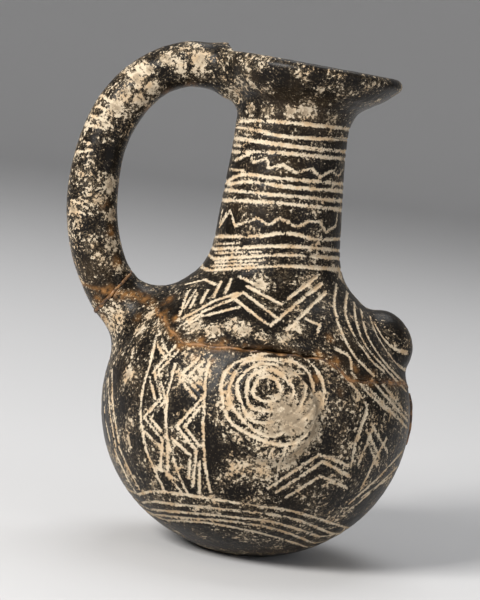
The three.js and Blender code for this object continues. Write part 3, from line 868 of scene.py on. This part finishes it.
def makePiece(node, shape, finish, lines=None, dust=0.0, raised=False):
    name = node + ("_glue" if finish == "mend_adhesive" else "_clay")
    points, faces = shape
    away = np.full(len(points), incision["far"])
    if raised:
        away = nearestIncision(onBody(points), lines)[0]
    elif lines:
        away, snapped = nearestIncision(points, lines)
        points = points + incision["snap"] * (snapped - points)
    crust = np.maximum(patchStrength(points, crustPatches, patchLook["crustSpread"]), dust)
    # clear of crust: bare slip, and painted shade under the ledge at the front of the break
    clear = patchStrength(points, clearSlipAndShadePatches, patchLook["clearSpread"])
    stain = patchStrength(points, stainPatches, patchLook["stainSpread"])
    layers = {
        "incised": away,
        "crust": np.minimum(crust, patchLook["mostCrust"]) * (1 - clear),
        "stain": np.maximum(stain, breakStain(points)),
    }
    placed = handWobble(points)
    placed[:, 2] = np.maximum(placed[:, 2], 0)
    mesh = smoothMesh(name, placed * mm, faces)
    if lines:  # the lines are cut into the mesh, and the surface is a little pitted
        normal = np.empty(len(points) * 3)
        mesh.vertices.foreach_get("normal", normal)
        depth = incision["depth"] * np.clip(-away / incision["slope"], 0, 1)
        depth += surface["pitting"] * noise(points, surface["pitSize"], 8.0)
        depth *= smoothStep(points[:, 2], surface["flatBelow"], surface["roundAbove"])
        placed = placed - normal.reshape(-1, 3) * depth[:, None]
        mesh.vertices.foreach_set("co", (placed * mm).ravel())
    for label, values in layers.items():
        mesh.attributes.new(label, "FLOAT", "POINT").data.foreach_set("value", values.astype(np.float32))
    mesh.materials.append(finishes[finish])
    mesh.update()
    piece = addObject(name, mesh)
    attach(piece, "root")
    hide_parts(node)
    print(name, len(points), "points")


belly = {
    "rows": 144, "insideRows": 26, "insideStart": -1.5, "footRings": (0.35, 0.7), "gap": 0.25,
    "openGap": 0.9,
    "brokenFace": ((0.35, -0.1), (1.9, 0.2)),  # depth in the wall, and how far below the edge
    "dust": 0.25,
}


def makeBelly():
    azimuth = around(body["columns"])[None]
    rest = -math.asin(body["widest"] / body["lower"])
    top = breakLatitude(azimuth[0], -belly["gap"] - belly["openGap"] * gapShare(azimuth[0]))[None]
    share = np.linspace(0, 1, belly["rows"])[:, None]
    outer = bodyPoint(rest + (top - rest) * share, azimuth)
    foot = [outer[0] * (k, k, 1) for k in belly["footRings"]]
    edge = [bodyPoint(top[0] - drop / body["radius"], azimuth[0], depth)
            for depth, drop in belly["brokenFace"]]
    down = np.linspace(1, 0, belly["insideRows"])[:, None]
    start = belly["insideStart"]
    inner = bodyPoint(start + (top - start) * down, azimuth, body["wall"])
    rows = np.concatenate([np.stack(foot), outer, np.stack(edge), inner])
    shape = closeRows(rows, (0, 0, 0), (0, 0, body["floor"]))
    makePiece("belly_bowl", shape, "black_slip", incisions["body"], belly["dust"])


shoulder = {
    "rows": 100, "insideRows": 24, "topRadius": 24.5, "insideBeyond": 0.2, "gap": 0.3, "openGap": 0.45,
    "faceDepth": 1.9,
    "proud": 0.7,  # the ledge that stands out over the break at the front
    "proudHeight": 2.6, "proudAt": -1.6, "proudHalf": 0.6, "dust": 0.16,
}


def makeShoulder():
    azimuth = around(body["columns"])[None]
    low = breakLatitude(azimuth[0], shoulder["gap"] + shoulder["openGap"] * gapShare(azimuth[0]))[None]
    foot = math.acos(shoulder["topRadius"] / body["radius"])
    up = (foot - low) * np.linspace(0, 1, shoulder["rows"])[:, None]
    atFront = np.exp(-((azimuth - shoulder["proudAt"]) / shoulder["proudHalf"]) ** 2)
    proud = shoulder["proud"] * np.exp(-(up * body["radius"] / shoulder["proudHeight"]) ** 2) * atFront
    outer = bodyPoint(low + up, azimuth, -proud)
    high = foot + shoulder["insideBeyond"]
    down = np.linspace(0, 1, shoulder["insideRows"])[:, None]
    inner = bodyPoint(high + (low - high) * down, azimuth, body["wall"])
    edge = bodyPoint(low, azimuth, shoulder["faceDepth"])
    shape = closeRows(np.concatenate([outer, inner, edge]))
    makePiece("shoulder_dome", shape, "black_slip", incisions["body"], shoulder["dust"])


def makeNeck():
    inside = np.linspace(*neck["inside"], neck["insideRows"])
    shape = closeRows(turned(np.concatenate([neckOutside, inside]), neck["columns"]))
    lines = incisions["neck"] + incisions["body"]
    makePiece("neck_tube", shape, "black_slip", lines, neck["dust"])


def makeMouth():
    section = np.concatenate([mouthOutside, mouthLip, mouthInside[::2]])
    shape = closeRows(lean(turned(section, mouth["columns"])))
    makePiece("mouth_funnel", shape, "black_slip", incisions["neck"], mouth["dust"])


def makeHandle():
    def field(points):
        coil, wall = coilDistance(points), wallDistance(points, wallOutline)
        filled = wallDistance(points, filledOutline)
        joined = smoothMin(coil, wall, handle["join"])
        beyond = handleBreak["gap"] - breakPlane(points)
        return np.maximum.reduce([joined, coil - handle["smear"], -filled - handle["clearMouth"], beyond])

    shape = blobMesh(field, handle["low"], handle["high"], handle["voxel"])
    makePiece("loop_handle", shape, "limed_clay", incisions["handle"], handle["dust"])


handleRoot = {
    "join": 7, "smear": 6.4, "sunk": 0.6, "coilEnd": 30, "pegRadius": 4.1, "pegDepth": 5, "pegHead": 1,
    "low": (-57, -19, 36), "high": (-22, 19, 80), "voxel": 0.45, "dust": 0.34,
}


def makeHandleRoot():
    look = handleRoot
    seat = bodyPoint(np.radians(handle["rootLatitude"]), math.pi, look["pegDepth"])
    outward = unit(coilLine[0] - seat)

    def field(points):
        coil, shell = coilDistance(points, 0, look["coilEnd"]), bodyDistance(points)
        joined = smoothMin(coil, shell, look["join"])
        beyond = breakPlane(points) + handleBreak["gap"]
        stump = np.maximum.reduce([joined, coil - look["smear"], -shell - look["sunk"], beyond])
        depth, off = alongAxis(points, coilLine[0], outward)
        peg = [off - look["pegRadius"], -depth - look["pegDepth"], depth - look["pegHead"]]
        return np.minimum(stump, np.maximum.reduce(peg))

    shape = blobMesh(field, look["low"], look["high"], look["voxel"])
    makePiece("handle_root", shape, "black_slip", incisions["body"], look["dust"])


luting = {
    "corner": (-17.5, 0, 117.5), "join": 9.5, "fade": 3.8, "fadeFrom": 1.5, "fadeTo": 7, "reach": 7.5,
    "sunk": 0.5, "coilFrom": 60, "low": (-27, -9, 108), "high": (-8, 9, 127), "voxel": 0.4,
    "dust": 0.45,
}


def makeLuting():
    def field(points):
        coil, wall = coilDistance(points, luting["coilFrom"]), wallDistance(points, wallOutline)
        away = norm(points - luting["corner"], axis=1)
        fade = luting["fade"] * smoothStep(away, luting["fadeFrom"], luting["fadeTo"])
        joined = smoothMin(coil, wall, luting["join"] - fade)
        return np.maximum.reduce([joined, away - luting["reach"], -np.minimum(coil, wall) - luting["sunk"]])

    shape = blobMesh(field, luting["low"], luting["high"], luting["voxel"])
    makePiece("handle_luting", shape, "limed_clay", incisions["handle"], luting["dust"])


# Knob and boss: a dome that the body's surface runs up into
knob = {
    "latitude": 36.5, "azimuth": 0, "radius": 8, "height": 5.4, "join": 4,
    "low": (-14, -14, -14), "high": (14, 14, 14), "voxel": 0.4, "dust": 0.15,
}
boss = {
    "latitude": 7, "azimuth": -86.4, "radius": 11.6, "height": 2.1, "join": 2.2,
    "low": (-16, -6, -16), "high": (16, 5, 16), "voxel": 0.35, "dust": 0.42,
}
lump = {"spread": 0.92, "sunk": 0.6}


def makeLump(node, finish, look):
    latitude, azimuth = np.radians(look["latitude"]), np.radians(look["azimuth"])
    seat, out = bodyPoint(latitude, azimuth), bodyOutward(latitude, azimuth)
    radius, height, join = look["radius"], look["height"], look["join"]

    def field(points):
        depth, off = alongAxis(points, seat, out)
        share = np.hypot(off / radius, depth / height)
        slope = np.maximum(np.hypot(off / radius ** 2, depth / height ** 2), 1e-6)
        dome, shell = share * (share - 1) / slope, bodyDistance(points)
        joined = smoothMin(dome, shell, join)
        return np.maximum.reduce([joined, dome - lump["spread"] * join, -shell - lump["sunk"]])

    shape = blobMesh(field, seat + look["low"], seat + look["high"], look["voxel"])
    makePiece(node, shape, finish, incisions["body"], look["dust"], True)


bodyMend = {
    "columns": 900, "edge": 0.02, "thickness": 0.55, "lumps": 0.22, "lumpSize": 3, "grit": 0.15,
    "gritSize": 1.1, "sunk": 0.42, "sunkUneven": 0.25, "sunkSize": 6, "openSunk": 2.1,
}
glueRun = {
    "top": 14, "foot": -7, "azimuth": -2, "sway": 0.02, "waves": 9, "points": 60, "width": 0.75,
    "taper": (0.35, 3), "uneven": 0.2, "unevenSize": 2,
}


def mendRing():
    look = bodyMend
    azimuth = around(look["columns"])
    latitude = breakLatitude(azimuth, look["edge"])
    middle, outward = bodyPoint(latitude, azimuth), bodyOutward(latitude, azimuth)
    thickness = look["thickness"] + look["lumps"] * noise(middle, look["lumpSize"], 4.0)
    thickness += look["grit"] * noise(middle, look["gritSize"], 2.0)
    sunk = look["sunk"] + look["sunkUneven"] * noise(middle, look["sunkSize"], 3.0)
    sunk += look["openSunk"] * gapShare(azimuth)
    return closeRows(bead(middle - outward * sunk[:, None], outward, thickness))


def mendRun():  # adhesive that ran down from the break, away from the handle
    latitude = np.radians(np.linspace(glueRun["top"], glueRun["foot"], glueRun["points"]))
    side = np.radians(glueRun["azimuth"])
    line = bodyPoint(latitude, side + glueRun["sway"] * np.sin(glueRun["waves"] * latitude))
    outward = unit(line - bodyPoint(latitude, side + 0 * latitude, inward))
    width = glueRun["width"] * np.sin(np.linspace(*glueRun["taper"], glueRun["points"]))
    width += glueRun["uneven"] * noise(line, glueRun["unevenSize"], 3.0)
    return closeRows(bead(line, outward, width)[1:-1], line[1], line[-2])


def makeBodyMend():
    points, faces = mendRing()
    runPoints, runFaces = mendRun()
    faces += [tuple(k + len(points) for k in face) for face in runFaces]
    makePiece("body_mend", (np.vstack([points, runPoints]), faces), "mend_adhesive")


handleMend = {
    "coilStart": 2, "coilEnd": 16, "proud": 0.15, "uneven": 0.35, "unevenSize": 2.2, "half": 0.45,
    "low": (-54, -11, 50), "high": (-28, 11, 76), "voxel": 0.35,
}


def makeHandleMend():
    look = handleMend

    def field(points):
        coil = coilDistance(points, look["coilStart"], look["coilEnd"])
        proud = look["proud"] + look["uneven"] * noise(points, look["unevenSize"], 5.0)
        return np.maximum(coil - proud, np.abs(breakPlane(points)) - look["half"])

    shape = blobMesh(field, look["low"], look["high"], look["voxel"])
    makePiece("handle_mend", shape, "mend_adhesive")


for make in (makeBelly, makeShoulder, makeNeck, makeMouth, makeHandle, makeHandleRoot, makeLuting):
    make()
makeLump("side_knob", "black_slip", knob)
makeLump("front_boss", "limed_clay", boss)
makeBodyMend()
makeHandleMend()
print("pieces made")


# Floor, rising to a round backdrop, and the lamps, in metres
studio = {
    "firstRings": [(0.3, 0), (1.2, 0)], "floorRadius": 2.4, "curve": 1.0, "curveRows": 16,
    "wallTop": 3.2, "columns": 96, "shade": colour(205, 205, 206), "roughness": 0.9, "ambient": 0.34,
    "aim": (0, 0, 0.07),
}
lamps = {  # place, size, watts and tint
    "key": ((-0.75, -0.85, 0.75), 0.45, 24, (1, 0.98, 0.95)),
    "fill": ((1.1, -0.9, 0.5), 0.9, 3.5, (0.97, 0.98, 1)),
    "top": ((0.1, 0.5, 1.3), 0.8, 7, (1, 1, 1)),
}


def makeFloor():
    bend = [(studio["floorRadius"] + studio["curve"] * math.sin(a), studio["curve"] * (1 - math.cos(a)))
            for a in np.linspace(0, math.pi / 2, studio["curveRows"])]
    section = np.array([*studio["firstRings"], *bend, (bend[-1][0], studio["wallTop"])])
    rows = turned(section, studio["columns"])
    index = numbered(rows)
    mesh = smoothMesh("floor", rows.reshape(-1, 3), quadsBetween(index) + [index[0].tolist()[::-1]])
    paper = Shade("floor_paper")
    mesh.materials.append(paper.finish({"Base Color": studio["shade"], "Roughness": studio["roughness"]}))
    addObject("floor", mesh)


def makeLamp(name, place, size, watts, tint):
    data = bpy.data.lights.new(name, "AREA")
    data.size = size
    data.energy = watts
    data.color = tint
    lamp = addObject(name, data)
    lamp.location = place
    aim = Vector(studio["aim"]) - Vector(place)
    lamp.rotation_euler = aim.to_track_quat("-Z", "Y").to_euler()


makeFloor()
for lampName, values in lamps.items():
    makeLamp(lampName, *values)
world = bpy.data.worlds.new("world")
bpy.context.scene.world = world
world.use_nodes = True
background = world.node_tree.nodes["Background"]
background.inputs["Color"].default_value = (1, 1, 1, 1)
background.inputs["Strength"].default_value = studio["ambient"]
bpy.context.scene.view_settings.view_transform = "Standard"
print("studio ready")
